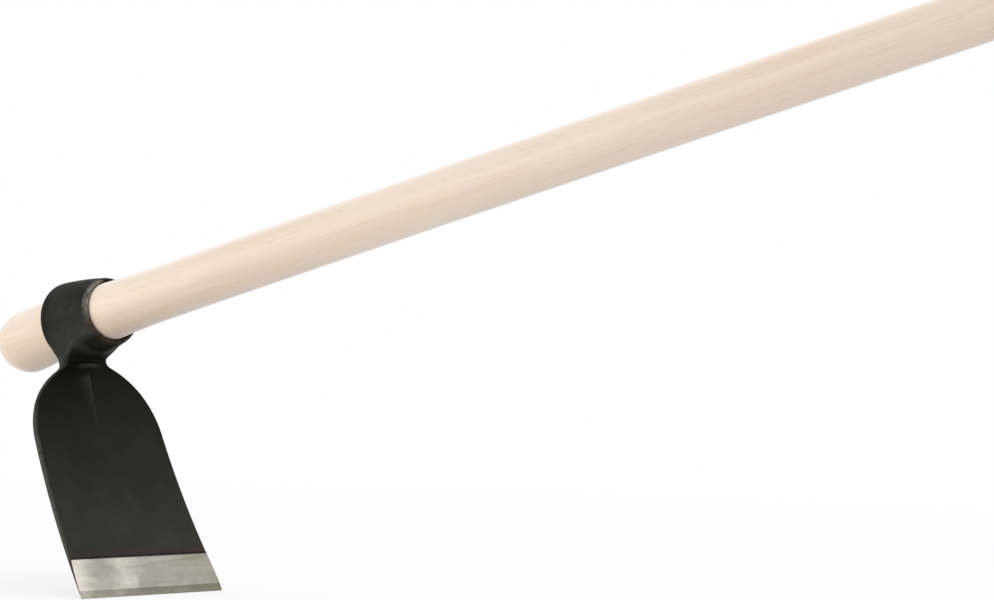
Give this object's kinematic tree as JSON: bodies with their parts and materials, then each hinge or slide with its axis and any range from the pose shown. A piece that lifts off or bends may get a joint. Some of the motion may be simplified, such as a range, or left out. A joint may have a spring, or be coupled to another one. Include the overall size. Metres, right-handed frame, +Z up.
{
  "type": "garden hoe",
  "caption": "Digging hoe with a curved, square-edged forged blade, a round eye and a tapered wooden handle that passes through it.",
  "frame": {"origin": "on the ground, under the middle of the tool's bounding box, with the cutting edge resting on the ground", "axes": "X across the blade, +Y towards the stub of the handle beyond the head, -Y towards the user's end, +Z up; the handle rises 13 degrees towards the user"},
  "size_m": [0.1204, 1.0922, 0.4294],
  "materials": {
    "beech": "smooth, unvarnished",
    "black_lacquer": "semi-gloss black lacquer; the cutting edge is bare ground steel"
  },
  "bodies": {
    "handle": {"handle": "beech"},
    "head": {"hoe_head": "black_lacquer"}
  },
  "joints": [
    {"name": "head_slide", "type": "slide", "parent": "handle", "child": "head", "axis": [0, -0.9744, 0.225], "range_m": [0, 0.992]}
  ]
}
